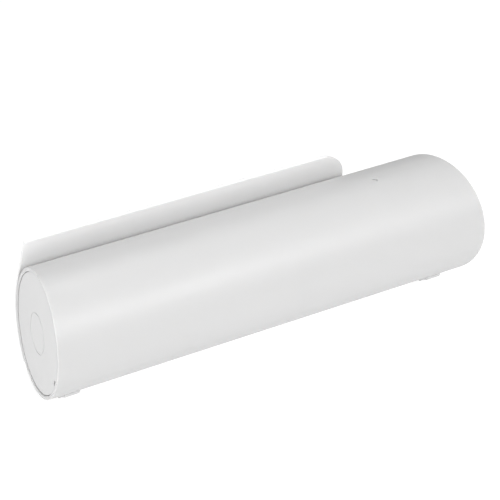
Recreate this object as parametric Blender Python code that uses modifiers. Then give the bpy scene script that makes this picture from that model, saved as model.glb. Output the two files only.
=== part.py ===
"""Fire blanket in a wall-mounted tube case.

X runs along the tube, Y from its front to its back, Z up. The case stands on its two
saddle feet, which are also what it hangs from on a wall. The origin is under the middle of
the case, at the level of the feet. Angles round the tube are in degrees from its front,
over its top (90), down its back (180) to its underside (270).
"""
import math

import bmesh
import bpy
from mathutils import Matrix, Vector

# Tube shell
TUBE_RADIUS = 0.0420
TUBE_LENGTH = 0.3220
SHELL_WALL = 0.0026
END_LEAN = 0.222             # each end is cut at a slant: X lost per metre towards LEAN_ANGLE
LEAN_ANGLE = 172.0
GATE_X = 0.1010
GATE_ANGLE = 81.5
GATE_RADIUS = 0.0015
GATE_DEPTH = 0.0012

# Window that the blanket leaves by, and the band of tube that stays closed at each end
WINDOW_TOP = 168.0
WINDOW_BOTTOM = 229.0
END_BAND = 0.0180

# Door and its grip lip
DOOR_WALL = 0.0022
DOOR_GAP = 0.00035
DOOR_BOTTOM = 230.5
LIP_START = 157.0
LIP_LENGTH = 0.0392
LIP_TURN = 2.0
LIP_RIGHT = 0.1038
LIP_CORNER = 0.0300
LIP_SMALL_CORNER = 0.0030
RIM_ANGLE = 150.0            # upper edge of the door where it has no lip

# Hinges
HINGE_ANGLE = 235.0
HINGE_PITCH = 0.1000
KNUCKLE_RADIUS = 0.0030
KNUCKLE_LENGTH = 0.0100
KNUCKLE_CLEARANCE = 0.0004
PIN_RADIUS = 0.00125
PIN_OVERHANG = 0.0006
BRACKET_WIDTH = 0.0300
BRACKET_WALL = 0.0018
BRACKET_START = 240.0
BRACKET_END = 254.0
RIVET_ANGLE = 248.0
RIVET_SPACING = 0.0200
RIVET_RADIUS = 0.0014
RIVET_HEAD_RADIUS = 0.0026
RIVET_HEAD = 0.0012

# Snap catches
CATCH_X = 0.0780
CATCH_WIDTH = 0.0160
CATCH_WALL = 0.0022
CATCH_START = 151.0
CATCH_END = 165.5
NOSE_ANGLE = 161.5
NOSE_SPAN = 3.0
NOSE_WIDTH = 0.0100
NOSE_REACH = 0.0006
KEEPER_DEPTH = 0.0010

# End plugs
PLUG_FACE = 0.0026
PLUG_INSET = 0.0006
PLUG_DEPTH = 0.0070
PLUG_SKIRT = 0.0020
PLUG_BEVEL = 0.0005
PLUG_RING_RADIUS = 0.0130
PLUG_RING_WIDTH = 0.0008
PLUG_RING_DEPTH = 0.0004
NOTCH_ANGLE = -28.0
NOTCH_LENGTH = 0.0050
NOTCH_DEPTH = 0.0012

# Saddle feet, their pads and screws
FOOT_X = 0.1465
FOOT_LENGTH = 0.0120
FOOT_HALF_SPAN = 0.0173
FOOT_BASE_HALF = 0.0092
FOOT_SIDE = 0.0024
FOOT_HEIGHT = 0.0036
FOOT_BEVEL = 0.0008
PAD_THICKNESS = 0.0009
PAD_MARGIN = 0.0008
KEYHOLE_HEAD = 0.0042
KEYHOLE_SLOT = 0.0022
KEYHOLE_ENTRY = 0.0025
KEYHOLE_TRAVEL = 0.0075
SCREW_OFFSET = 0.0120
SCREW_RADIUS = 0.0014
SCREW_LENGTH = 0.0050
SCREW_HEAD_RADIUS = 0.0028
SCREW_HEAD = 0.0016

# Folded blanket and its pull tabs
PACK_THICKNESS = 0.0370
PACK_LENGTH = 0.2600
PACK_BEVEL = 0.0025
TAB_X = 0.0900
TAB_WIDTH = 0.0250
TAB_THICKNESS = 0.0014
TAB_SPAN = 58.0

CLEARANCE = 0.0003
ARC_STEP = 5.0
ROUND_SIDES = 24

DOOR_INNER = TUBE_RADIUS + DOOR_GAP
DOOR_OUTER = DOOR_INNER + DOOR_WALL
SHELL_INNER = TUBE_RADIUS - SHELL_WALL
HINGE_REACH = TUBE_RADIUS + KNUCKLE_RADIUS + KNUCKLE_CLEARANCE
BORE_RADIUS = PIN_RADIUS + CLEARANCE
AXIS_Y = (TUBE_RADIUS - DOOR_OUTER) / 2
AXIS_Z = TUBE_RADIUS + FOOT_HEIGHT
WINDOW_HALF = TUBE_LENGTH / 2 - END_LEAN * TUBE_RADIUS - END_BAND
PACK_ANGLE = (WINDOW_TOP + WINDOW_BOTTOM) / 2
SIDES = (("left", -1), ("right", 1))

for old in list(bpy.data.objects):
    bpy.data.objects.remove(old, do_unlink=True)

parts = bpy.data.collections.new("fire_blanket_tube")
bpy.context.scene.collection.children.link(parts)
cutters = bpy.data.collections.new("cutters")
bpy.context.scene.collection.children.link(cutters)


def material(name, color, roughness, metallic=0.0):
    """A Principled material with the part's colour."""
    made = bpy.data.materials.new(name)
    made.use_nodes = True
    shader = made.node_tree.nodes["Principled BSDF"]
    shader.inputs["Base Color"].default_value = (*color, 1.0)
    shader.inputs["Roughness"].default_value = roughness
    shader.inputs["Metallic"].default_value = metallic
    return made


# Points round the tube, as (y, z) pairs

def around(radius, degrees):
    """The point at a radius and an angle round the tube's axis."""
    angle = math.radians(degrees)
    return (AXIS_Y - radius * math.cos(angle), AXIS_Z + radius * math.sin(angle))


def arc(radius, start, end, centre=None, step=ARC_STEP):
    """Points of an arc round a centre, by default the tube's axis, both ends included."""
    centre_y, centre_z = centre or (AXIS_Y, AXIS_Z)
    count = max(2, round(abs(end - start) / step))
    angles = [math.radians(start + (end - start) * i / count) for i in range(count + 1)]
    return [(centre_y - radius * math.cos(a), centre_z + radius * math.sin(a)) for a in angles]


def sector(inner, outer, start, end):
    """Closed outline of a piece of a ring."""
    return arc(outer, start, end) + arc(inner, end, start)


def circle(radius, centre=None, sides=ROUND_SIDES):
    """Closed outline of a full circle."""
    return arc(radius, 0.0, 360.0, centre, 360.0 / sides)[:-1]


# Solids

def new_object(name, mesh, look=None, collection=None):
    """An object for a finished mesh."""
    made = bpy.data.objects.new(name, mesh)
    (collection or parts).objects.link(made)
    if look:
        mesh.materials.append(look)
    else:
        made.hide_render = True
        made.display_type = "WIRE"
    return made


def extruded(name, outlines, half, across, look=None):
    """A flat outline, drawn on the plane whose axes the matrix gives, as a solid slab."""
    curve = bpy.data.curves.new(name, "CURVE")
    curve.dimensions = "2D"
    curve.fill_mode = "BOTH"
    curve.extrude = half
    for outline in outlines:
        spline = curve.splines.new("POLY")
        spline.points.add(len(outline) - 1)
        for point, (u, v) in zip(spline.points, outline):
            point.co = (u, v, 0.0, 1.0)
        spline.use_cyclic_u = True
    drawn = bpy.data.objects.new(name + "_outline", curve)
    bpy.context.scene.collection.objects.link(drawn)
    drawn.matrix_world = across
    bpy.context.view_layer.update()
    graph = bpy.context.evaluated_depsgraph_get()
    mesh = bpy.data.meshes.new_from_object(drawn.evaluated_get(graph))
    mesh.transform(across)
    bpy.data.objects.remove(drawn, do_unlink=True)
    shape = bmesh.new()
    shape.from_mesh(mesh)
    bmesh.ops.remove_doubles(shape, verts=shape.verts, dist=1e-6)
    bmesh.ops.recalc_face_normals(shape, faces=shape.faces)
    shape.to_mesh(mesh)
    shape.free()
    mesh.name = name
    return new_object(name, mesh, look, parts if look else cutters)


def prism(name, outlines, start, end, look=None):
    """A solid of constant section along X, from a list of closed (y, z) outlines."""
    middle = (start + end) / 2
    across = Matrix(((0, 0, 1, middle), (1, 0, 0, 0), (0, 1, 0, 0), (0, 0, 0, 1)))
    return extruded(name, outlines, (end - start) / 2, across, look)


def profile_xz(name, outline, start, end):
    """A cutter of constant section along Y, from a closed (x, z) outline."""
    middle = (start + end) / 2
    across = Matrix(((1, 0, 0, 0), (0, 0, -1, middle), (0, 1, 0, 0), (0, 0, 0, 1)))
    return extruded(name, [outline], (end - start) / 2, across)


def slab_xy(name, outlines, low, high, look=None):
    """A flat piece of constant section along Z, from closed (x, y) outlines."""
    across = Matrix.Translation((0.0, 0.0, (low + high) / 2))
    return extruded(name, outlines, (high - low) / 2, across, look)


def spoke(name, degrees, x, inner, outer, radius, look=None, sides=ROUND_SIDES, tip=None):
    """A cylinder or cone along the tube's radius at an angle, between two distances."""
    shape = bmesh.new()
    bmesh.ops.create_cone(
        shape, cap_ends=True, segments=sides, depth=outer - inner,
        radius1=radius, radius2=radius if tip is None else tip)
    mesh = bpy.data.meshes.new(name)
    shape.to_mesh(mesh)
    shape.free()
    y, z = around((inner + outer) / 2, degrees)
    turn = Matrix.Rotation(math.radians(degrees - 90.0), 4, "X")
    mesh.transform(Matrix.Translation((x, y, z)) @ turn.inverted())
    return new_object(name, mesh, look, parts if look else cutters)


def rod(name, start, end, radius, centre, look=None, sides=ROUND_SIDES):
    """A round rod along X."""
    return prism(name, [circle(radius, centre, sides)], start, end, look)


def bake(target):
    """Applies every modifier of an object to its mesh."""
    bpy.context.view_layer.update()
    graph = bpy.context.evaluated_depsgraph_get()
    finished = bpy.data.meshes.new_from_object(target.evaluated_get(graph))
    target.modifiers.clear()
    finished.name = target.data.name
    target.data = finished


def combine(target, tool, operation):
    """Cuts a tool from a solid, or joins it on, with an exact Boolean."""
    step = target.modifiers.new(tool.name, "BOOLEAN")
    step.operation = operation
    step.solver = "EXACT"
    step.object = tool
    bake(target)
    if operation == "UNION":
        bpy.data.objects.remove(tool, do_unlink=True)


def cut(target, *tools):
    for tool in tools:
        combine(target, tool, "DIFFERENCE")


def join(target, *tools):
    for tool in tools:
        combine(target, tool, "UNION")


def bevel(target, width, segments=2, limit=40.0):
    """Rounds the sharp edges of a solid."""
    step = target.modifiers.new("edges", "BEVEL")
    step.width = width
    step.segments = segments
    step.limit_method = "ANGLE"
    step.angle_limit = math.radians(limit)
    step.use_clamp_overlap = True
    bake(target)


def lean(y, z):
    """How much shorter the tube's half length is at a point of its section."""
    angle = math.radians(LEAN_ANGLE)
    return END_LEAN * ((AXIS_Y - y) * math.cos(angle) + (z - AXIS_Z) * math.sin(angle))


def lean_ends(target):
    """Slants both ends of a prism, which is shortest on the side of its lip."""
    for vertex in target.data.vertices:
        side = 1 if vertex.co.x > 0 else -1
        vertex.co.x -= side * lean(vertex.co.y, vertex.co.z)


def smooth(target):
    """Round faces shade smooth, and edges over 35 degrees stay sharp."""
    target.data.shade_smooth()
    target.data.set_sharp_from_angle(angle=math.radians(35))


def set_origin(target, point):
    """Moves an object's origin without moving its shape."""
    target.data.transform(Matrix.Translation(-Vector(point)))
    target.location = point


# Pieces

def tube_shell(look):
    """The case: a tube with slanted ends and one long window in its back."""
    half = TUBE_LENGTH / 2
    shell = prism("tube_shell", [circle(TUBE_RADIUS, sides=72), circle(SHELL_INNER, sides=72)],
                  -half, half, look)
    lean_ends(shell)
    reach = TUBE_RADIUS * 1.1
    cut(shell, prism("window", [sector(SHELL_INNER * 0.9, reach, WINDOW_TOP, WINDOW_BOTTOM)],
                     -WINDOW_HALF, WINDOW_HALF))
    cut(shell, spoke("gate_mark", GATE_ANGLE, GATE_X, TUBE_RADIUS - GATE_DEPTH, reach,
                     GATE_RADIUS))
    inside = SHELL_INNER * 0.95
    for side, sign in SIDES:
        slot = sector(inside, reach, *nose_slot())
        width = NOSE_WIDTH / 2 + CLEARANCE
        middle = sign * CATCH_X
        cut(shell, prism("catch_slot_" + side, [slot], middle - width, middle + width))
        cut_keyhole(shell, sign * FOOT_X)
        for angle in screw_angles():
            cut(shell, spoke("screw_hole", angle, sign * FOOT_X, inside, reach,
                             SCREW_RADIUS + CLEARANCE, sides=16))
    for x in rivet_places():
        cut(shell, spoke("rivet_hole", RIVET_ANGLE, x, inside, reach,
                         RIVET_RADIUS + CLEARANCE, sides=16))
    return shell


def nose_slot():
    """Start and end angle of the slot that a catch's nose passes through."""
    play = math.degrees(CLEARANCE / TUBE_RADIUS) + NOSE_SPAN / 2
    return NOSE_ANGLE - play, NOSE_ANGLE + play


def hinge_places():
    return [step * HINGE_PITCH for step in (-1, 0, 1)]


def rivet_places():
    return [x + side * RIVET_SPACING / 2 for x in hinge_places() for side in (-1, 1)]


def screw_angles():
    """The two angles at which a foot's screws pass through the tube."""
    spread = math.degrees(math.asin(SCREW_OFFSET / TUBE_RADIUS))
    return 270.0 - spread, 270.0 + spread


def lip_point(share, depth):
    """A point of the lip, at a share of its length and a depth behind its outer face."""
    first = math.radians(180.0 - LIP_START)
    turn = math.radians(LIP_TURN)
    bend = LIP_LENGTH / turn
    tilt = first + turn * share
    y, z = around(DOOR_OUTER, LIP_START)
    y += bend * (math.cos(tilt) - math.cos(first)) - depth * math.cos(tilt)
    z += bend * (math.sin(tilt) - math.sin(first)) - depth * math.sin(tilt)
    return y, z


def door_outline():
    """Section of the door: a skin over the tube's back that runs on into the lip."""
    steps = 8
    outer = arc(DOOR_OUTER, DOOR_BOTTOM, LIP_START)
    outer += [lip_point(i / steps, 0.0) for i in range(1, steps + 1)]
    tilt = 180.0 - LIP_START + LIP_TURN
    tip = lip_point(1.0, DOOR_WALL / 2)
    edge = arc(DOOR_WALL / 2, 180.0 - tilt, -tilt, tip, 30.0)[1:-1]
    inner = [lip_point(i / steps, DOOR_WALL) for i in range(steps, 0, -1)]
    inner += arc(DOOR_INNER, LIP_START, DOOR_BOTTOM)
    return outer + edge + inner


def lip_trim():
    """Outline, seen from the front, of what the lip lacks right of its round corner."""
    rim = around(TUBE_RADIUS, RIM_ANGLE)[1]
    top = lip_point(1.0, 0.0)[1] + DOOR_WALL
    crown = top - DOOR_WALL
    far = TUBE_LENGTH
    corner = arc(LIP_CORNER, 90.0, 180.0, (LIP_RIGHT - LIP_CORNER, crown - LIP_CORNER), 10.0)
    return corner + [(LIP_RIGHT, rim), (far, rim), (far, top), (LIP_RIGHT - LIP_CORNER, top)]


def lip_left_trim():
    """Outline, seen from the front, of the lip's small round corner at its left end."""
    tip_y, crown = lip_point(1.0, 0.0)
    end = lean(tip_y, crown) - TUBE_LENGTH / 2
    centre = (end + LIP_SMALL_CORNER, crown - LIP_SMALL_CORNER)
    corner = arc(LIP_SMALL_CORNER, 0.0, 90.0, centre, 15.0)
    return corner + [(centre[0], crown + DOOR_WALL), (end - DOOR_WALL, crown + DOOR_WALL),
                     (end - DOOR_WALL, centre[1])]


def door_shell(look):
    """The door, with its lip, its hinge knuckles and two keeper recesses."""
    half = TUBE_LENGTH / 2
    door = prism("door_shell", [door_outline()], -half, half, look)
    lean_ends(door)
    reach = TUBE_RADIUS * 2
    cut(door, profile_xz("lip_trim", lip_trim(), -reach, reach))
    cut(door, profile_xz("lip_left_trim", lip_left_trim(), -reach, reach))
    hinge = around(HINGE_REACH, HINGE_ANGLE)
    overlap = math.degrees(KNUCKLE_RADIUS / HINGE_REACH)
    for place in hinge_places():
        for sign in (-1, 1):
            near = place + sign * (KNUCKLE_LENGTH / 2 + CLEARANCE)
            start, end = sorted((near, near + sign * KNUCKLE_LENGTH))
            web = sector(DOOR_INNER, DOOR_OUTER, DOOR_BOTTOM - overlap, HINGE_ANGLE - overlap / 2)
            knuckle = rod("door_knuckle", start, end, KNUCKLE_RADIUS, hinge)
            join(knuckle, prism("door_web", [web], start, end))
            join(door, knuckle)
            cut(door, rod("pin_bore", start - CLEARANCE, end + CLEARANCE, BORE_RADIUS, hinge))
    play = NOSE_SPAN
    recess = sector(DOOR_INNER * 0.97, DOOR_INNER + KEEPER_DEPTH,
                    NOSE_ANGLE - play, NOSE_ANGLE + play)
    for side, sign in SIDES:
        middle = sign * CATCH_X
        width = NOSE_WIDTH / 2 + 2 * CLEARANCE
        cut(door, prism("keeper_" + side, [recess], middle - width, middle + width))
    set_origin(door, (0.0, *hinge))
    return door


def hinge_bracket(name, place, look):
    """The tube's half of a hinge: a curved pad with one knuckle."""
    pad_inner = TUBE_RADIUS + CLEARANCE
    pad = sector(pad_inner, pad_inner + BRACKET_WALL, BRACKET_START, BRACKET_END)
    bracket = prism(name, [pad], place - BRACKET_WIDTH / 2, place + BRACKET_WIDTH / 2, look)
    start = place - KNUCKLE_LENGTH / 2
    end = place + KNUCKLE_LENGTH / 2
    overlap = math.degrees(KNUCKLE_RADIUS / HINGE_REACH)
    hinge = around(HINGE_REACH, HINGE_ANGLE)
    web = sector(pad_inner + CLEARANCE / 3, HINGE_REACH + KNUCKLE_RADIUS / 3,
                 HINGE_ANGLE + overlap / 2, BRACKET_START + overlap / 2)
    knuckle = rod("knuckle", start, end, KNUCKLE_RADIUS, hinge)
    join(knuckle, prism("bracket_web", [web], start, end))
    join(bracket, knuckle)
    cut(bracket, rod("pin_bore", start - CLEARANCE, end + CLEARANCE, BORE_RADIUS, hinge))
    for sign in (-1, 1):
        cut(bracket, spoke("rivet_hole", RIVET_ANGLE, place + sign * RIVET_SPACING / 2,
                           SHELL_INNER, TUBE_RADIUS * 1.2, RIVET_RADIUS + CLEARANCE, sides=16))
    return bracket


def hinge_pin(name, place, look):
    """A steel pin through the three knuckles of one hinge."""
    reach = KNUCKLE_LENGTH * 1.5 + CLEARANCE + PIN_OVERHANG
    pin = rod(name, place - reach, place + reach, PIN_RADIUS,
              around(HINGE_REACH, HINGE_ANGLE), look, 16)
    bevel(pin, PIN_RADIUS / 4, 1)
    return pin


def fastener(name, angle, x, low, high, radius, heads, look):
    """A shank along the tube's radius with a round head at each (inner, outer, radius)."""
    made = spoke(name, angle, x, low, high, radius, look, 16)
    for inner, outer, head in heads:
        join(made, spoke("head", angle, x, inner, outer, head, sides=20))
    return made


def hinge_rivets(look):
    """Rivets that hold the brackets on the tube."""
    inner = SHELL_INNER - CLEARANCE
    outer = TUBE_RADIUS + 2 * CLEARANCE + BRACKET_WALL
    heads = ((inner - RIVET_HEAD, inner, RIVET_HEAD_RADIUS),
             (outer, outer + RIVET_HEAD, RIVET_HEAD_RADIUS))
    return [fastener("hinge_rivet_%d" % number, RIVET_ANGLE, x, inner - RIVET_HEAD / 2,
                     outer + RIVET_HEAD / 2, RIVET_RADIUS, heads, look)
            for number, x in enumerate(rivet_places(), 1)]


def foot_screws(look):
    """Self-tapping screws from inside the tube into its feet."""
    inner = SHELL_INNER - 2 * CLEARANCE
    heads = ((inner - SCREW_HEAD, inner, SCREW_HEAD_RADIUS),)
    return [fastener("foot_screw_%s_%s" % (side, row), angle, sign * FOOT_X,
                     inner - SCREW_HEAD / 2, SHELL_INNER + SCREW_LENGTH, SCREW_RADIUS,
                     heads, look)
            for side, sign in SIDES
            for row, angle in zip(("back", "front"), screw_angles())]


def catch(name, middle, look):
    """A snap catch inside the tube, whose nose reaches through it into the door."""
    seat = SHELL_INNER - CLEARANCE
    body = sector(seat - CATCH_WALL, seat, CATCH_START, CATCH_END)
    made = prism(name, [body], middle - CATCH_WIDTH / 2, middle + CATCH_WIDTH / 2, look)
    nose = sector(seat - CATCH_WALL / 2, DOOR_INNER + NOSE_REACH,
                  NOSE_ANGLE - NOSE_SPAN / 2, NOSE_ANGLE + NOSE_SPAN / 2)
    join(made, prism("nose", [nose], middle - NOSE_WIDTH / 2, middle + NOSE_WIDTH / 2))
    return made


def end_plug(name, sign, look):
    """A round end plug: a slanted disc with a skirt that grips inside the tube."""
    radius = SHELL_INNER - CLEARANCE
    bore = radius - PLUG_SKIRT
    end = TUBE_LENGTH / 2 - PLUG_INSET
    plug = prism(name, [circle(radius, sides=60)], end - PLUG_DEPTH, end, look)
    hollow = prism("plug_hollow", [circle(bore, sides=60)],
                   end - PLUG_DEPTH - PLUG_FACE, end - PLUG_FACE)
    ring_outer = circle(PLUG_RING_RADIUS + PLUG_RING_WIDTH, sides=48)
    ring = prism("plug_ring", [ring_outer, circle(PLUG_RING_RADIUS, sides=48)],
                 end - PLUG_RING_DEPTH, end + PLUG_FACE)
    bevel(plug, PLUG_BEVEL, 2)
    cut(plug, hollow, ring)
    notch_y, notch_z = around(radius, NOTCH_ANGLE)
    notch = prism("pry_notch", [circle(NOTCH_LENGTH / 2, (notch_y, notch_z), 20)],
                  end - NOTCH_DEPTH, end + PLUG_FACE)
    cut(plug, notch)
    for vertex in plug.data.vertices:
        vertex.co.x -= lean(vertex.co.y, vertex.co.z)
    if sign < 0:
        plug.data.transform(Matrix.Scale(-1, 4, (1, 0, 0)))
        plug.data.flip_normals()
    return plug


def stadium(half, ends):
    """A slot outline: half a circle round each of two places along the first axis."""
    low, high = ends
    turns = [math.pi * i / 10 for i in range(11)]
    right = [(high + half * math.sin(a), half * math.cos(a)) for a in turns]
    left = [(low - half * math.sin(a), -half * math.cos(a)) for a in turns]
    return right + left


def cut_keyhole(target, middle):
    """Cuts a keyhole along Z: a wide entry, and a slot that runs from it to the front."""
    low, high = -FOOT_HEIGHT, AXIS_Z - TUBE_RADIUS * 0.8
    entry = circle(KEYHOLE_HEAD, (middle, AXIS_Y + KEYHOLE_ENTRY), 24)
    ends = (AXIS_Y + KEYHOLE_ENTRY - KEYHOLE_TRAVEL, AXIS_Y + KEYHOLE_ENTRY)
    slot = [(middle + x, y) for y, x in stadium(KEYHOLE_SLOT, ends)]
    cut(target, slab_xy("keyhole_entry", [entry], low, high),
        slab_xy("keyhole_slot", [slot], low, high))


def foot(name, middle, look):
    """A saddle foot, open where the tube's keyhole is."""
    base = PAD_THICKNESS + CLEARANCE
    spread = math.degrees(math.asin(FOOT_HALF_SPAN / TUBE_RADIUS))
    seat = arc(TUBE_RADIUS + CLEARANCE, 270.0 - spread, 270.0 + spread)
    side = seat[0][1] - FOOT_SIDE
    outline = seat + [(AXIS_Y - FOOT_HALF_SPAN, side), (AXIS_Y - FOOT_BASE_HALF, base),
                      (AXIS_Y + FOOT_BASE_HALF, base), (AXIS_Y + FOOT_HALF_SPAN, side)]
    made = prism(name, [outline], middle - FOOT_LENGTH / 2, middle + FOOT_LENGTH / 2, look)
    bevel(made, FOOT_BEVEL, 2)
    cut_keyhole(made, middle)
    for angle in screw_angles():
        cut(made, spoke("screw_hole", angle, middle, SHELL_INNER,
                        SHELL_INNER + SCREW_LENGTH + CLEARANCE, SCREW_RADIUS + CLEARANCE,
                        sides=16))
    return made


def foot_pad(name, middle, look):
    """A soft pad under a foot, cut open where the keyhole is."""
    half_x = FOOT_LENGTH / 2 - PAD_MARGIN
    half_y = FOOT_BASE_HALF - PAD_MARGIN
    outline = [(middle + sx * half_x, AXIS_Y + sy * half_y)
               for sx, sy in ((-1, -1), (1, -1), (1, 1), (-1, 1))]
    made = slab_xy(name, [outline], 0.0, PAD_THICKNESS, look)
    cut_keyhole(made, middle)
    return made


def pack_point(along, across):
    """A point of the pack's section, along the way it leaves by and across it."""
    angle = math.radians(PACK_ANGLE)
    out = (-math.cos(angle), math.sin(angle))
    return (AXIS_Y + along * out[0] - across * out[1],
            AXIS_Z + along * out[1] + across * out[0])


def pack_ends():
    """Centres of the pack's two round sides, measured along the way it leaves by."""
    half = PACK_THICKNESS / 2
    back = -(SHELL_INNER - CLEARANCE - half)
    front = SHELL_INNER - half
    return back, front


def blanket_pack(look):
    """The folded blanket: a long pad with two round sides."""
    half = PACK_THICKNESS / 2
    outline = [pack_point(a, c) for a, c in stadium(half, pack_ends())]
    made = prism("blanket_pack", [outline], -PACK_LENGTH / 2, PACK_LENGTH / 2, look)
    bevel(made, PACK_BEVEL, 2)
    return made


def pull_tab(name, middle, look):
    """A webbing pull tab round the side of the pack that leaves first."""
    centre = pack_point(pack_ends()[1], 0.0)
    inner = PACK_THICKNESS / 2 + CLEARANCE
    start, end = PACK_ANGLE - TAB_SPAN, PACK_ANGLE + TAB_SPAN
    outline = arc(inner + TAB_THICKNESS, start, end, centre, 10.0)
    outline += arc(inner, end, start, centre, 10.0)
    return prism(name, [outline], middle - TAB_WIDTH / 2, middle + TAB_WIDTH / 2, look)


def build():
    white = material("white_moulding", (0.78, 0.78, 0.77), 0.38)
    plug_white = material("plug_white", (0.80, 0.80, 0.80), 0.42)
    nylon = material("hinge_nylon", (0.74, 0.74, 0.73), 0.5)
    steel = material("steel", (0.55, 0.56, 0.58), 0.3, 1.0)
    rubber = material("grey_rubber", (0.50, 0.50, 0.50), 0.8)
    cloth = material("glass_cloth", (0.82, 0.81, 0.76), 0.85)
    webbing = material("black_webbing", (0.02, 0.02, 0.02), 0.8)
    made = [tube_shell(white), door_shell(white), blanket_pack(cloth)]
    made += hinge_rivets(steel) + foot_screws(steel)
    for label, place in zip(("left", "middle", "right"), hinge_places()):
        made.append(hinge_bracket("hinge_bracket_" + label, place, nylon))
        made.append(hinge_pin("hinge_pin_" + label, place, steel))
    for side, sign in SIDES:
        made.append(catch("catch_" + side, sign * CATCH_X, nylon))
        made.append(end_plug("end_plug_" + side, sign, plug_white))
        made.append(foot("foot_" + side, sign * FOOT_X, white))
        made.append(foot_pad("foot_pad_" + side, sign * FOOT_X, rubber))
        made.append(pull_tab("pull_tab_" + side, sign * TAB_X, webbing))
    for piece in made:
        smooth(piece)


build()
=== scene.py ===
"""Fire blanket in a tube-shaped wall case: the looks of every piece, and a plain studio stage."""

import math

import bmesh
import bpy
from mathutils import Matrix, Vector


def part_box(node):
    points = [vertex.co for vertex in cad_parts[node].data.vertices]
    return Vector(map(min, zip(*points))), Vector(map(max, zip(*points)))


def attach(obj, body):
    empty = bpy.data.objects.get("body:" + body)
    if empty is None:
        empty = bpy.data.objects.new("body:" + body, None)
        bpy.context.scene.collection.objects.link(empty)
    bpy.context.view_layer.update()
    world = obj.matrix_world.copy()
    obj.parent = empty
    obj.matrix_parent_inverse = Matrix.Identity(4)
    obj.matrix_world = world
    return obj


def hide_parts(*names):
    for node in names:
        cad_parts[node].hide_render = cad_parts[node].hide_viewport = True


bl_info = {
    "name": "Fire Blanket Tube Case",
    "version": (1, 0, 0),
    "blender": (4, 5, 0),
    "location": "View3D > Sidebar > Fire Blanket",
    "description": "Builds a wall case for a fire blanket, its door, hinges and folded blanket",
    "category": "Object",
}

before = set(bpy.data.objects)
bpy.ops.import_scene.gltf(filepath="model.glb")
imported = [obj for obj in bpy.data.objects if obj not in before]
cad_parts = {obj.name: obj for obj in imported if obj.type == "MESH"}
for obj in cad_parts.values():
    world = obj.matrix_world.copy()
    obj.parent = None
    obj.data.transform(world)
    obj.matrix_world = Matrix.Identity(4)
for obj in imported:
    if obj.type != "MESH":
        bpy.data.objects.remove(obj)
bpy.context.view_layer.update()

# Tube: angles run in degrees from its front, over its top (90), to its back (180)
TUBE_LOW, TUBE_HIGH = (Vector(corner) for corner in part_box("tube_shell"))
AXIS_Y = (TUBE_LOW.y + TUBE_HIGH.y) / 2
AXIS_Z = (TUBE_LOW.z + TUBE_HIGH.z) / 2
TUBE_RADIUS = (TUBE_HIGH.z - TUBE_LOW.z) / 2
HALF_LENGTH = 0.1610
SHELL_WALL = 0.0026
SHELL_INNER = TUBE_RADIUS - SHELL_WALL
END_LEAN = 0.222
LEAN_ANGLE = math.radians(172.0)
CLEARANCE = 0.0003
WINDOW = (168.0, 229.0)
WINDOW_HALF = HALF_LENGTH - END_LEAN * TUBE_RADIUS - 0.0180
GATE_X = 0.1010
GATE_ANGLE = 81.5
GATE_RADIUS = 0.0020
GATE_DEPTH = 0.0012
GATE_ROUND = 0.00035

# Door and lip: the lip runs 0.9 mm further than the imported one, as its tip is rounded off
DOOR_INNER = TUBE_RADIUS + 0.00035
DOOR_WALL = 0.0022
DOOR_OUTER = DOOR_INNER + DOOR_WALL
DOOR_BOTTOM = 230.5
LIP_START = 157.0
LIP_LENGTH = 0.0401
LIP_TURN = 2.0
LIP_RIGHT = 0.1038
LIP_CORNER = 0.0300
LIP_SMALL_CORNER = 0.0030
RIM_ANGLE = 150.0
KEEPER_DEPTH = 0.0010

# Hinges, catches, feet
HINGE_ANGLE = 235.0
KNUCKLE_RADIUS = 0.0030
HINGE_REACH = TUBE_RADIUS + KNUCKLE_RADIUS + 0.0004
HINGE_PLACES = (-0.1000, 0.0, 0.1000)
KNUCKLE_LENGTH = 0.0100
BORE_RADIUS = 0.00155
RIVET_ANGLE = 248.0
RIVET_OFFSET = 0.0100
RIVET_RADIUS = 0.0014
BRACKET_WALL = 0.0018
CATCH_X = 0.0780
NOSE_ANGLE = 161.5
NOSE_SPAN = 3.0
NOSE_WIDTH = 0.0100
FOOT_X = 0.1465
SCREW_SPREAD = math.degrees(math.asin(0.0120 / TUBE_RADIUS))
SCREW_RADIUS = 0.0014
KEYHOLE_HEAD = 0.0042
KEYHOLE_SLOT = 0.0022
KEYHOLE_ENTRY = 0.0025
KEYHOLE_TRAVEL = 0.0075
FOOT_ROUND = 0.0008
PAD_ROUND = 0.00015

# End plugs
PLUG_INSET = 0.0006
PLUG_WALL = 0.0026
PLUG_SKIRT = 0.0070
PLUG_RING = 0.0130
NOTCH_ANGLE = -28.0
NOTCH_RADIUS = 0.0025
NOTCH_DEPTH = 0.0012

# Folded blanket
PACK_ANGLE = math.radians((WINDOW[0] + WINDOW[1]) / 2)
PACK_HALF = 0.0185
PACK_BACK = -(SHELL_INNER - CLEARANCE - PACK_HALF)
PACK_FRONT = SHELL_INNER - PACK_HALF
BUNDLES = 15
PANELS = 4
PANEL_PITCH = 0.00058
PANEL_LENGTH = 0.2493
TAB_X = 0.0900
TAB_WIDTH = 0.0250
TAB_THICKNESS = 0.0014
TAB_SPAN = 58.0
SIDES = (("left", -1), ("right", 1))


# Points and angles

def around(radius, degrees):
    """The (y, z) point at a radius and an angle round the tube's axis."""
    angle = math.radians(degrees)
    return AXIS_Y - radius * math.cos(angle), AXIS_Z + radius * math.sin(angle)


def lean(y, z):
    """How much shorter the case's half length is at a point of its section."""
    return END_LEAN * ((AXIS_Y - y) * math.cos(LEAN_ANGLE) + (z - AXIS_Z) * math.sin(LEAN_ANGLE))


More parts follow.
